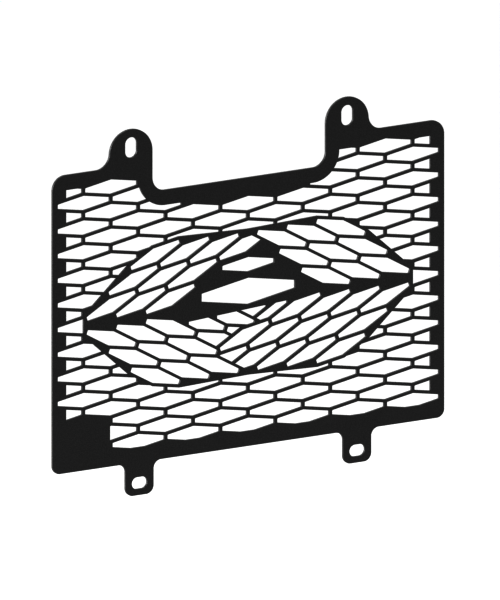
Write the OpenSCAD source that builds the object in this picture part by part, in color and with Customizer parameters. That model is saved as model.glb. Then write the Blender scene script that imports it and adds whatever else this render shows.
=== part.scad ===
// Radiator guard for a motorcycle: one flat sheet with a cut grille, two ears above and two tabs below.
// X runs across the motorcycle, Y through the sheet with the front face towards -Y, and Z up.
// The origin is under the middle of the sheet, level with the lowest edge of the tabs.

/* [Sheet] */
// width of the sheet
sheet_w = 264; // [262:1:270]
// height of the sheet between its long edges, without ears and tabs
sheet_h = 180; // [179:0.5:184]
// thickness of the sheet
sheet_t = 1.5; // [1:0.1:3]
// solid rim above and below the grille, and round the notch
rim = 9; // [8:0.1:9.5]
// solid rim beside the grille, which the outermost column of cells is cut to
side_rim = 9.2; // [8:0.1:10]
// least rim, where a whole cell reaches out beyond the others
least_rim = 3.5; // [2:0.5:6]
// radius of the two upper corners
top_corner_r = 8.8; // [2:0.1:9]
// radius of the two lower corners
low_corner_r = 5; // [2:0.5:9]

/* [Ears] */
// distance between the ears' centres
ear_spacing = 145.7; // [140:0.1:150]
// how far the pair of ears sits to the left of the sheet's middle line
ear_shift = 6.2; // [0:0.1:8]
// radius of the ears' round heads
ear_r = 14.4; // [12:0.1:15]
// height of the heads' centres over the sheet's upper edge
ear_rise = 7.5; // [5:0.5:8]
// radius of the hollow that runs from the head's outer side into the upper edge
ear_fillet_r = 9; // [5:0.5:10]
// how far the edge between the ears lies below the sheet's upper edge
notch_depth = 17.8; // [14:0.1:18]
// radius of the notch's two lower corners
notch_r = 8.6; // [4:0.1:9]
// solid land under the notch: how far it reaches to the left of the sheet's middle line
notch_land_left = 45.1; // [40:0.1:55]
// how far it reaches to the right
notch_land_right = 41.7; // [40:0.1:50]
// how far it reaches below the notch's rim
notch_land_drop = 1.9; // [1.7:0.1:2]
// width of the slots in the ears, across the motorcycle
ear_slot_w = 8; // [6:0.1:9]
// full length of the slots in the ears, upright
ear_slot_l = 12.5; // [10:0.1:16]
// height of the ears' slots over the centre of the heads
ear_slot_rise = 3.4; // [0:0.1:4]

/* [Tabs] */
// distance between the tabs' centres
tab_spacing = 146.7; // [130:0.1:160]
// width of a tab
tab_w = 18.9; // [16:0.1:24]
// how far the tabs reach below the sheet's lower edge
tab_drop = 19.8; // [18:0.1:26]
// radius of a tab's outer corners and of the hollows beside it
tab_r = 5; // [3:0.5:6]
// width of the slots in the tabs, upright
tab_slot_w = 7.3; // [6:0.1:9]
// full length of the slots in the tabs, across the motorcycle
tab_slot_l = 10.5; // [9:0.1:13]
// height of the tabs' slots over the tabs' lower edge
tab_slot_z = 7.3; // [7:0.1:9]

/* [Grille cells] */
// length of a six-sided cell between its two short sides
cell_l = 35; // [34.5:0.1:35.5]
// length of a cell's short side
cell_side = 2.76; // [2.4:0.02:3]
// slope of a cell's four long sides
cell_slope = 10; // [9.6:0.1:10.2]
// radius of the corners at the ends of the short sides
cell_corner_r = 0.6; // [0.2:0.1:1]
// width of the bars between long sides
bar_long = 1.75; // [1.5:0.05:2.2]
// width of the bars between short sides
bar_short = 2; // [1.6:0.1:2.4]
// how far the grille's middle line lies below the sheet's own
grille_drop = 2.9; // [2.4:0.1:3.4]

/* [Pointed field in the middle] */
// turn of the cells in each quarter of the field
field_turn = 20; // [18:0.5:21]
// level gap between the cells of the two lower quarters where they meet
quarter_gap = 1.34; // [1.2:0.02:2]
// distance of a quarter's lowest inner cell from the level middle line
middle_gap = 1.27; // [1.1:0.01:1.6]

/* [Middle windows] */
// size of the large window, as a multiple of a cell
window_scale = 1.8; // [1.4:0.1:2]
// how far the large window reaches below the level middle line
window_drop = 1.5; // [0.5:0.1:2]
// size of the small window over it, as a multiple of a cell
upper_window_scale = 1; // [0.8:0.05:1.1]
// solid width between the two windows
window_land = 3.6; // [3:0.1:4]
// how far the solid land under the large window reaches below the level middle line
land_below = 4.2; // [3.5:0.1:5]
// slope of that land's lower edge, which trims four cells
land_slope = 3.6; // [0:0.1:6]
// height of the upright ends that the trimmed cells have instead of points
trim_end = 1.8; // [1:0.1:2.4]

/* [Plain corner] */
// width of the plain field in the lower left corner, with the rim
plain_w = 38.8; // [34:0.1:40]

/* [Hidden] */
$fn = 64;

cell_h = cell_side / 2 + cell_l / 2 * tan(cell_slope);
col = (cell_l + bar_short) / 2;
row = (2 * cell_h * cos(cell_slope) + bar_long - col * sin(cell_slope)) / cos(cell_slope);

ear_z = sheet_h + ear_rise;
left_ear_x = -ear_shift - ear_spacing / 2;
right_ear_x = -ear_shift + ear_spacing / 2;
notch_left = left_ear_x + ear_r;
notch_right = right_ear_x - ear_r;
notch_z = sheet_h - notch_depth;
grille_z = sheet_h / 2 - grille_drop;

// Columns are counted from the middle, two to a cell pitch, and rows likewise.
last_col = floor((sheet_w / 2 - side_rim + cell_l / 2) / col);
low_row = -floor((grille_z - rim) / row);
high_row = floor((sheet_h - rim - grille_z) / row);
// cells in each direction of a quarter of the pointed field
field_n = 3;
// first row outside the pointed field, for each column from the middle outwards
first_rows = [6, 7, 6, 7, 4, 3];
// the plain corner takes the cells from this column outwards and from this row down
plain_col = 1 - last_col;
plain_row = low_row + 2;
// these columns' highest cell is whole and reaches into the rim
whole_col = last_col - 2;

function turned(p, a) = [p.x * cos(a) - p.y * sin(a), p.x * sin(a) + p.y * cos(a)];

// crossing of the line through p at angle a with the line through q at angle b
function crossing(p, a, q, b) =
    let (t = ((q.x - p.x) * sin(b) - (q.y - p.y) * cos(b)) / sin(b - a))
    p + t * [cos(a), sin(a)];

function outside_field(k, m) = abs(k) >= len(first_rows) || abs(m) >= first_rows[abs(k)];

// true if the notch's straight edge would cut a cell
function under_notch(k, m) =
    k * col - cell_l / 2 > notch_left + notch_r
    && k * col + cell_l / 2 < notch_right - notch_r
    && grille_z + m * row + cell_h > notch_z - rim;

function in_grille(k, m) =
    outside_field(k, m)
    && !under_notch(k, m)
    && !(k <= plain_col && m <= plain_row);

// place of a cell in its quarter, from the quarter's first cell
function field_step(i, j) = turned([(i + j) * col, (i - j) * row], -field_turn);

// cell of the upper right quarter, counted from the one nearest the upright middle line
field_x = quarter_gap / 2 + field_step(1, 0).x - field_step(0, 1).x
    + turned([cell_l / 2, cell_side / 2], -field_turn).x;
field_z = middle_gap - field_step(0, field_n - 1).y
    - turned([cell_l / 2, -cell_side / 2], -field_turn).y;
function field_spot(i, j) = [field_x, field_z] + field_step(i, j);

// outline of a cell, round its centre
function cell_points(l, side, r) =
    let (
        h = side / 2 + l / 2 * tan(cell_slope),
        cx = l / 2 - r,
        cz = side / 2 - r * tan(45 - cell_slope / 2),
        sweep = 90 - cell_slope
    )
    concat(
        [for (a = [0, sweep / 2, sweep]) [cx + r * cos(a), cz + r * sin(a)]],
        [[0, h]],
        [for (a = [sweep, sweep / 2, 0]) [-cx - r * cos(a), cz + r * sin(a)]],
        [for (a = [0, sweep / 2, sweep]) [-cx - r * cos(a), -cz - r * sin(a)]],
        [[0, -h]],
        [for (a = [sweep, sweep / 2, 0]) [cx + r * cos(a), -cz - r * sin(a)]]
    );

// Corners of the pointed field: its edge runs one bar's width outside the cells of the quarter.
last_cell = field_spot(field_n - 1, 0);
across_turn = atan2(row, col) - field_turn;
down_turn = -atan2(row, col) - field_turn;
top_run = last_cell + turned([-cell_l / 2, cell_side / 2], -field_turn)
    + bar_long * [-sin(across_turn), cos(across_turn)];
side_run = last_cell + turned([cell_l / 2, cell_side / 2], -field_turn)
    + bar_long * [-sin(down_turn), cos(down_turn)];
cell_top = [0, cell_h + bar_long / cos(cell_slope)];
field_peak = last_cell + turned(cell_top, -field_turn);
field_edge = [
    crossing(top_run, across_turn, [0, 0], 90),
    crossing(top_run, across_turn, field_peak, cell_slope - field_turn),
    field_peak,
    crossing(field_peak, -cell_slope - field_turn, side_run, down_turn),
    crossing(side_run, down_turn, [len(first_rows) * col, 0], 90)
];

// Points on the bars where the quarters meet.
seam_a = field_spot(0, 0) - turned(cell_top, -field_turn);
seam_b = [field_spot(-2, 1).x, -field_spot(-2, 1).y] + turned(cell_top, field_turn);
seam_c = -field_spot(-2, 2) + turned(cell_top, -field_turn);
seam_d = -field_spot(-2, 2) + turned([cell_l / 2, cell_side / 2], -field_turn) + [0, bar_long];
steep = cell_slope + field_turn;

// upright line at which a trimmed cell ends, with its long side through p at angle a
function blunt_x(p, a) =
    crossing([0, -land_below], land_slope, p, a).x + trim_end / (tan(land_slope) - tan(a));
left_blunt = [for (i = [-1, -2])
    blunt_x(-field_spot(i, 2) - turned([cell_l / 2, cell_side / 2], -field_turn), -steep)];
right_blunt = blunt_x([field_spot(-2, 2).x, -field_spot(-2, 2).y]
    + turned([cell_l / 2, -cell_side / 2], field_turn), steep);

window_z = window_scale * cell_h - window_drop;

module cell(scale_by = 1, r = cell_corner_r)
    polygon(cell_points(cell_l * scale_by, cell_side * scale_by, r));

// everything over the line through p at angle a, or everything under it if side is -1
module beside(p, a, side = 1)
    translate(p) rotate(a) translate([-2 * cell_l, side > 0 ? 0 : -3 * cell_l])
        square([4 * cell_l, 3 * cell_l]);

// one cell of a quarter; sx and sz pick the quarter
module field_cell(sx, sz, i, j)
    translate([sx * field_spot(i, j).x, sz * field_spot(i, j).y])
        rotate(-sx * sz * field_turn) cell();

module quarter(sx, sz)
    for (i = [0 : field_n - 1])
        for (j = [0 : field_n - 1])
            field_cell(sx, sz, i, j);

module middle_windows() {
    lift = cell_h * (window_scale + upper_window_scale) + window_land;
    translate([0, window_z]) cell(window_scale);
    translate([0, window_z + lift]) cell(upper_window_scale);
}

// the four cells under the large window, before its land trims them
module trimmed_cells() {
    difference() {
        field_cell(-1, -1, -1, 2);
        beside([left_blunt[0], 0], 90);
    }
    difference() {
        field_cell(-1, -1, -2, 2);
        beside([left_blunt[1], 0], 90);
        beside(seam_b, cell_slope, -1);
    }
    difference() {
        field_cell(-1, -1, -3, 2);
        translate(bar_long / 2 * [-sin(steep), cos(steep)]) beside(seam_d, steep, -1);
    }
    difference() {
        field_cell(1, -1, -2, 2);
        beside([right_blunt, 0], 90, -1);
        translate(-bar_long / 2 * [-sin(steep), cos(steep)]) beside(seam_d, steep);
        beside(seam_c, -steep, -1);
    }
}

// openings of the pointed field, about the grille's middle
module field_openings() {
    for (sx = [-1, 1])
        for (sz = [-1, 1])
            quarter(sx, sz);
    for (c = [[-1, 1], [-2, 1], [-1, 2]])
        field_cell(1, -1, c[0], c[1]);
    difference() {
        field_cell(-1, 1, -1, 0);
        beside(seam_a, -steep);
    }
    for (i = [-1, -2])
        difference() {
            field_cell(1, -1, i, 0);
            beside(-seam_a, -steep, -1);
        }
    for (i = [-1, -2])
        difference() {
            field_cell(-1, -1, i, 1);
            beside(seam_b, steep, -1);
        }
    difference() {
        trimmed_cells();
        beside([0, -land_below], land_slope);
    }
    middle_windows();
}

// the pointed field's whole outline
module field_outline() {
    last = len(field_edge) - 1;
    polygon(concat(
        field_edge,
        [for (i = [last : -1 : 0]) [field_edge[i].x, -field_edge[i].y]],
        [for (i = [1 : last]) -field_edge[i]],
        [for (i = [last : -1 : 1]) [-field_edge[i].x, field_edge[i].y]]
    ));
}

// one column of level cells
module cell_column(k)
    for (m = [low_row : high_row])
        if ((k + m) % 2 == 0 && in_grille(k, m))
            translate([k * col, m * row]) cell();

// the level cells; the rim beside the grille trims the outermost columns
module level_cells() {
    for (k = [1 - last_col : last_col - 1])
        cell_column(k);
    intersection() {
        square([sheet_w - 2 * side_rim, 2 * sheet_h], center = true);
        for (k = [-last_col, last_col])
            cell_column(k);
    }
}

// the space between the ears, grown all round
module notch(grow) {
    r = notch_r + grow;
    x0 = notch_left - grow;
    x1 = notch_right + grow;
    z0 = notch_z - grow;
    translate([x0 + r, z0]) square([x1 - x0 - 2 * r, sheet_h]);
    translate([x0, z0 + r]) square([x1 - x0, sheet_h]);
    for (x = [x0 + r, x1 - r])
        translate([x, z0 + r]) circle(r);
}

// the part of the sheet that may be cut
module inside_rim() {
    difference() {
        translate([least_rim - sheet_w / 2, rim]) square([sheet_w - 2 * least_rim, sheet_h - 2 * rim]);
        notch(rim);
        translate([-notch_land_left, notch_z - rim - notch_land_drop])
            square([notch_land_left + notch_land_right, rim + notch_land_drop]);
        translate([-sheet_w / 2, 0])
            square([plain_w, grille_z + (low_row + 1) * row + cell_h + bar_long / 2]);
    }
    for (sx = [-1, 1])
        translate([sx * whole_col * col - cell_l / 2, sheet_h - 2 * rim])
            square([cell_l, 2 * rim - least_rim]);
}

module corner_square(x, z, sx, sz, r)
    difference() {
        translate([x - (sx > 0 ? r : 0), z - (sz > 0 ? r : 0)]) square(r);
        translate([x - sx * r, z - sz * r]) circle(r);
    }

module ear(x, out) {
    rise = sheet_h + ear_fillet_r - ear_z;
    reach = sqrt((ear_r + ear_fillet_r) ^ 2 - rise ^ 2);
    meet_z = ear_z + rise * ear_r / (ear_r + ear_fillet_r);
    translate([x, ear_z]) circle(ear_r);
    translate([out > 0 ? x - ear_r : x, notch_z]) square([ear_r, ear_z - notch_z]);
    difference() {
        translate([out > 0 ? x - ear_r / 2 : x - reach, notch_z])
            square([reach + ear_r / 2, meet_z - notch_z]);
        translate([x + out * reach, sheet_h + ear_fillet_r]) circle(ear_fillet_r);
    }
}

module tab(x) {
    translate([x - tab_w / 2 + tab_r, -tab_drop]) square([tab_w - 2 * tab_r, tab_drop + rim / 2]);
    translate([x - tab_w / 2, tab_r - tab_drop]) square([tab_w, tab_drop - tab_r + rim / 2]);
    for (s = [-1, 1])
        translate([x + s * (tab_w / 2 - tab_r), tab_r - tab_drop]) circle(tab_r);
    difference() {
        translate([x - tab_w / 2 - tab_r, -tab_r]) square([tab_w + 2 * tab_r, tab_r + rim / 2]);
        for (s = [-1, 1])
            translate([x + s * (tab_w / 2 + tab_r), -tab_r]) circle(tab_r);
    }
}

// a slot with round ends, lying along X
module slot(l, w) {
    for (s = [-1, 1])
        translate([s * (l - w) / 2, 0]) circle(w / 2);
    square([l - w, w], center = true);
}

module outline() {
    difference() {
        translate([-sheet_w / 2, 0]) square([sheet_w, sheet_h]);
        notch(0);
        for (s = [-1, 1]) {
            corner_square(s * sheet_w / 2, sheet_h, s, 1, top_corner_r);
            corner_square(s * sheet_w / 2, 0, s, -1, low_corner_r);
        }
    }
    ear(left_ear_x, -1);
    ear(right_ear_x, 1);
    for (s = [-1, 1])
        tab(s * tab_spacing / 2);
}

module guard_plate()
    color([0.11, 0.11, 0.11])
        translate([0, 0, tab_drop]) rotate([90, 0, 0])
            linear_extrude(sheet_t, center = true)
                difference() {
                    outline();
                    intersection() {
                        inside_rim();
                        translate([0, grille_z]) difference() {
                            level_cells();
                            field_outline();
                        }
                    }
                    intersection() {
                        inside_rim();
                        translate([0, grille_z]) field_openings();
                    }
                    for (x = [left_ear_x, right_ear_x])
                        translate([x, ear_z + ear_slot_rise]) rotate(90) slot(ear_slot_l, ear_slot_w);
                    for (s = [-1, 1])
                        translate([s * tab_spacing / 2, tab_slot_z - tab_drop]) slot(tab_slot_l, tab_slot_w);
                }

guard_plate();
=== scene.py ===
"""Radiator guard: one flat sheet with a cut grille, powder coated in satin black."""

import math

import bmesh
import bpy
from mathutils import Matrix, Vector


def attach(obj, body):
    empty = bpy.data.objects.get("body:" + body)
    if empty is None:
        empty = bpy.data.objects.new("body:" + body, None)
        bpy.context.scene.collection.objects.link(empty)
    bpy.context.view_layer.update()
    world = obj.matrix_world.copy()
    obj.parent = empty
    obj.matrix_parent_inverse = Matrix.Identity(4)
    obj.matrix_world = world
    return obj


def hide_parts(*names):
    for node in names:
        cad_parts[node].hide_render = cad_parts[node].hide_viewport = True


MM = 0.001

# the way the photograph looks at the guard
CAMERA_AZIMUTH = -30.0
CAMERA_ELEVATION = 15.0
CAMERA_DISTANCE = 1.6
CAMERA_NEAR = 0.05
CAMERA_FAR = 30.0
VIEW_HEIGHT = 350.3 * MM
VIEW_GAMMA = 0.5
AIM = Vector((1.49, 0.0, 107.62)) * MM

# the sheet's mesh, in millimetres: points that are one, a flat face's depth, the round edges
SAME_POINT = 0.002
FACE_DEPTH = 0.001
EDGE_RADIUS = 0.09
EDGE_STEPS = 2

# the turn below which faces are one flat panel
PANEL_TURN = math.radians(0.5)

# how far a normal leans through the sheet: the most for a cut wall, the least for a flat face
WALL_LEAN = 0.1
FACE_LEAN = 0.9

# what counts as a chord of one of the sheet's arcs, and the cuts that make it rounder
LONGEST_CHORD = 3.6
CHORD_MATCH = 0.03
MIN_TURN = math.radians(2)
MAX_TURN = math.radians(46)
ARC_CUTS = 3

# the coat's patterns: the scale of each, to a metre, and its finer layers
GRAIN = (1500.0, 3.0)
WAVE = (320.0, 1.0)
CLOUD = (26.0, 4.0)

# the grain's scale through the sheet, which draws it out into the laser's lines on cut walls
LINE_STRETCH = 0.12

# the coat's colour on its grains and the darker colour in its pits, which is painted shade of
# the pits' own shadow, and the grain's value that reaches each
PAINTED_PIT_SHADE = (0.019, 0.019, 0.019)
GRAIN_COLOUR = (0.044, 0.044, 0.044)
PIT_VALUE = 0.30
GRAIN_VALUE = 0.70

# the bumps of the grain and of the waves: strength and height
GRAIN_BUMP = (0.5, 0.08 * MM)
WAVE_BUMP = (0.3, 0.15 * MM)

# the coat's gloss: the cloud's values, the roughness that they give, and the shine
CLOUD_VALUES = (0.35, 0.65)
COAT_ROUGHNESS = (0.40, 0.50)
COAT_SHINE = 0.5

# the floor, well below the guard
FLOOR_DROP = 260.0 * MM
FLOOR_HALF = 6.0
FLOOR_COLOUR = (0.90, 0.90, 0.90)
FLOOR_ROUGHNESS = 0.9
FLOOR_SHINE = 0.1

# the light: an even room, and for each soft box its name, place, side and power
ROOM_COLOUR = (1.0, 1.0, 1.0, 1.0)
ROOM_STRENGTH = 1.14
BOX_SPREAD = math.radians(50)
SOFT_BOXES = (
    ("left_box", (-1.4, 0.6, 0.3), 1.2, 10.0),
    ("top_box", (0.2, 0.9, 1.9), 1.4, 3.0),
)


def placed(name, data):
    """A new object in the scene."""
    thing = bpy.data.objects.new(name, data)
    bpy.context.collection.objects.link(thing)
    return thing


def facing(direction):
    """The turn of a camera or a lamp that looks along a direction."""
    return direction.to_track_quat("-Z", "Y").to_euler()


def sight_line():
    """Direction from the guard back towards the camera."""
    azimuth = math.radians(CAMERA_AZIMUTH)
    elevation = math.radians(CAMERA_ELEVATION)
    return Vector((
        math.sin(azimuth) * math.cos(elevation),
        -math.cos(azimuth) * math.cos(elevation),
        math.sin(elevation),
    ))


def add_camera():
    """The camera, with a parallel view from the photograph's side."""
    camera = placed("camera", bpy.data.cameras.new("camera"))
    camera.data.type = "ORTHO"
    camera.data.sensor_fit = "VERTICAL"
    camera.data.ortho_scale = VIEW_HEIGHT
    camera.data.clip_start = CAMERA_NEAR
    camera.data.clip_end = CAMERA_FAR
    camera.location = AIM + sight_line() * CAMERA_DISTANCE
    camera.rotation_euler = facing(-sight_line())
    bpy.context.scene.camera = camera


def new_material(name):
    """A new material made of nodes, and its shader."""
    material = bpy.data.materials.new(name)
    material.use_nodes = True
    return material, material.node_tree.nodes["Principled BSDF"]


def node_of(material, kind):
    """A new shader node of a kind."""
    return material.node_tree.nodes.new(kind)


def noise_of(material, place, scale, detail):
    """A noise pattern laid over the piece at a place in its own frame."""
    noise = node_of(material, "ShaderNodeTexNoise")
    noise.inputs["Scale"].default_value = scale
    noise.inputs["Detail"].default_value = detail
    material.node_tree.links.new(place, noise.inputs["Vector"])
    return noise.outputs["Fac"]


def bump_of(material, height, strength, distance, below=None):
    """A bump from a pattern, laid on the bump below it."""
    bump = node_of(material, "ShaderNodeBump")
    bump.inputs["Strength"].default_value = strength
    bump.inputs["Distance"].default_value = distance
    material.node_tree.links.new(height, bump.inputs["Height"])
    if below:
        material.node_tree.links.new(below, bump.inputs["Normal"])
    return bump.outputs["Normal"]


def range_of(material, value, source, target):
    """A pattern's values brought from one range to another."""
    step = node_of(material, "ShaderNodeMapRange")
    names = ("From Min", "From Max", "To Min", "To Max")
    for name, number in zip(names, (*source, *target)):
        step.inputs[name].default_value = number
    material.node_tree.links.new(value, step.inputs["Value"])
    return step.outputs["Result"]


def powder_coat():
    """Satin black powder coat: a grained skin on the faces, the laser's lines on cut walls,
    with painted shade darkening the grain's pits and the lines' grooves.
    """
    material, shader = new_material("black_powder_coat")
    links = material.node_tree.links
    shader.inputs["Specular IOR Level"].default_value = COAT_SHINE

    place = node_of(material, "ShaderNodeTexCoord").outputs["Object"]
    drawn = node_of(material, "ShaderNodeMapping")
    drawn.inputs["Scale"].default_value = (1.0, LINE_STRETCH, 1.0)
    links.new(place, drawn.inputs["Vector"])

    grain = noise_of(material, drawn.outputs["Vector"], *GRAIN)
    wave = noise_of(material, drawn.outputs["Vector"], *WAVE)
    cloud = noise_of(material, place, *CLOUD)

    # the grain's random tone, with painted shade that makes its pits and the walls' line
    # grooves darker
    shade = node_of(material, "ShaderNodeValToRGB")
    pit_shade, top = shade.color_ramp.elements
    pit_shade.position, pit_shade.color = PIT_VALUE, (*PAINTED_PIT_SHADE, 1.0)
    top.position, top.color = GRAIN_VALUE, (*GRAIN_COLOUR, 1.0)
    links.new(grain, shade.inputs["Fac"])
    links.new(shade.outputs["Color"], shader.inputs["Base Color"])

    skin = bump_of(material, grain, *GRAIN_BUMP)
    links.new(bump_of(material, wave, *WAVE_BUMP, skin), shader.inputs["Normal"])
    gloss = range_of(material, cloud, CLOUD_VALUES, COAT_ROUGHNESS)
    links.new(gloss, shader.inputs["Roughness"])
    return material


def on_outline(edge):
    """True for an edge between one of the sheet's two faces and a cut wall."""
    if len(edge.link_faces) != 2:
        return False
    low, high = sorted(abs(face.normal.y) for face in edge.link_faces)
    return low < WALL_LEAN and high > FACE_LEAN


def flat(point):
    """A point's place in the plane of the sheet."""
    return Vector((point.x, point.z))


def join_panels(bm):
    """Each flat panel as one face, with every point of the outline kept on both sides."""
    across = [edge for edge in bm.edges
              if (flat(edge.verts[0].co) - flat(edge.verts[1].co)).length > SAME_POINT]
    bmesh.ops.dissolve_limit(bm, angle_limit=PANEL_TURN, verts=[], edges=across)


def arc_through(edge):
    """The arc that an edge is a chord of: middle, run, outward side, radius, half angle."""
    length = edge.calc_length()
    if length > LONGEST_CHORD:
        return None
    for joint in edge.verts:
        beside = [e for e in joint.link_edges if on_outline(e) and e != edge]
        if len(beside) != 1:
            continue
        if abs(beside[0].calc_length() - length) > CHORD_MATCH * length:
            continue
        start = flat(edge.other_vert(joint).co)
        middle = flat(joint.co)
        end = flat(beside[0].other_vert(joint).co)
        turn = (middle - start).angle_signed(end - middle)
        if not MIN_TURN < abs(turn) < MAX_TURN:
            continue
        run = (middle - start).normalized()
        side = math.copysign(1.0, turn)
        outward = Vector((-run.y, run.x)) * side
        radius = length / (2.0 * math.sin(abs(turn) / 2.0))
        return (start + middle) / 2.0, run, outward, radius, abs(turn) / 2.0
    return None


def round_arcs(bm):
    """Finer steps on the sheet's round corners, slots and ears, each new point on its arc."""
    mark = bm.edges.layers.int.new("arc")
    arcs = []
    chords = []
    for edge in bm.edges:
        arc = arc_through(edge) if on_outline(edge) else None
        if arc:
            arcs.append(arc)
            chords.append(edge)
            edge[mark] = len(arcs)
    made = bmesh.ops.subdivide_edges(bm, edges=chords, cuts=ARC_CUTS, use_grid_fill=True)
    for vert in (item for item in made["geom_inner"] if isinstance(item, bmesh.types.BMVert)):
        number = max(edge[mark] for edge in vert.link_edges)
        middle, run, outward, radius, half = arcs[number - 1]
        along = (flat(vert.co) - middle).dot(run) / (radius * math.sin(half)) * half
        place = middle + run * radius * math.sin(along)
        place += outward * radius * (math.cos(along) - math.cos(half))
        vert.co.x, vert.co.z = place
    bm.normal_update()


def round_rims(bm):
    """The small round edge along each cut, on both faces."""
    bmesh.ops.bevel(
        bm,
        geom=[edge for edge in bm.edges if on_outline(edge)],
        offset=EDGE_RADIUS,
        offset_type="OFFSET",
        affect="EDGES",
        segments=EDGE_STEPS,
        profile=0.5,
        material=-1,
        clamp_overlap=False,
    )


def fill_faces(bm):
    """Both flat faces made again from their outlines."""
    for side in (-1.0, 1.0):
        level = max(vert.co.y * side for vert in bm.verts) - FACE_DEPTH
        old = [face for face in bm.faces
               if all(vert.co.y * side > level for vert in face.verts)]
        bmesh.ops.delete(bm, geom=old, context="FACES")
        outline = [edge for edge in bm.edges if edge.is_boundary]
        bmesh.ops.triangle_fill(bm, use_beauty=True, use_dissolve=False, edges=outline,
                                normal=(0.0, side, 0.0))


def finished(bm, name, material):
    """A piece from its mesh, in its material."""
    mesh = bpy.data.meshes.new(name)
    bm.to_mesh(mesh)
    bm.free()
    mesh.materials.append(material)
    return placed(name, mesh)


def coated_sheet(coat):
    """The cut sheet with the small round edges that the coat leaves on it."""
    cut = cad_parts["guard_plate"]
    bm = bmesh.new()
    bm.from_mesh(cut.data)
    bmesh.ops.scale(bm, verts=bm.verts, vec=Vector((1.0, 1.0, 1.0)) / MM)
    bmesh.ops.remove_doubles(bm, verts=bm.verts, dist=SAME_POINT)
    join_panels(bm)
    round_arcs(bm)
    fill_faces(bm)
    round_rims(bm)
    fill_faces(bm)
    bmesh.ops.scale(bm, verts=bm.verts, vec=Vector((1.0, 1.0, 1.0)) * MM)
    sheet = finished(bm, "coated_sheet", coat)
    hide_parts("guard_plate")
    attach(sheet, "root")


def pale_surface():
    """The floor's dull pale surface."""
    material, shader = new_material("pale_floor")
    shader.inputs["Base Color"].default_value = (*FLOOR_COLOUR, 1.0)
    shader.inputs["Roughness"].default_value = FLOOR_ROUGHNESS
    shader.inputs["Specular IOR Level"].default_value = FLOOR_SHINE
    return material


def add_floor():
    """A wide plain floor below the guard."""
    bm = bmesh.new()
    bmesh.ops.create_grid(bm, x_segments=1, y_segments=1, size=FLOOR_HALF)
    bmesh.ops.translate(bm, verts=bm.verts, vec=(0.0, 0.0, -FLOOR_DROP))
    floor = finished(bm, "floor", pale_surface())


def add_soft_box(name, place, side, power):
    """A square soft box that looks at the guard."""
    lamp = bpy.data.lights.new(name, "AREA")
    lamp.shape = "SQUARE"
    lamp.size = side
    lamp.energy = power
    lamp.spread = BOX_SPREAD
    light = placed(name, lamp)
    light.location = place
    light.rotation_euler = facing(AIM - Vector(place))


def add_studio():
    """A bright even room, with a soft box to the left and one above and behind."""
    room = bpy.data.worlds.new("studio")
    room.use_nodes = True
    background = room.node_tree.nodes["Background"]
    background.inputs["Color"].default_value = ROOM_COLOUR
    background.inputs["Strength"].default_value = ROOM_STRENGTH
    bpy.context.scene.world = room
    for box in SOFT_BOXES:
        add_soft_box(*box)


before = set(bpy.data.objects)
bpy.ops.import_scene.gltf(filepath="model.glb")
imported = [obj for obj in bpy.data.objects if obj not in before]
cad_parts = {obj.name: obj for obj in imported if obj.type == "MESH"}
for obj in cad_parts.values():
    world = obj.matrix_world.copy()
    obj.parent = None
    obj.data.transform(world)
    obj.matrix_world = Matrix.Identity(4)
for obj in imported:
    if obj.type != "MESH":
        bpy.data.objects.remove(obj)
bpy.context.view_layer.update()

bpy.context.scene.view_settings.view_transform = "Standard"
bpy.context.scene.view_settings.gamma = VIEW_GAMMA
add_camera()
add_studio()
add_floor()
coated_sheet(powder_coat())
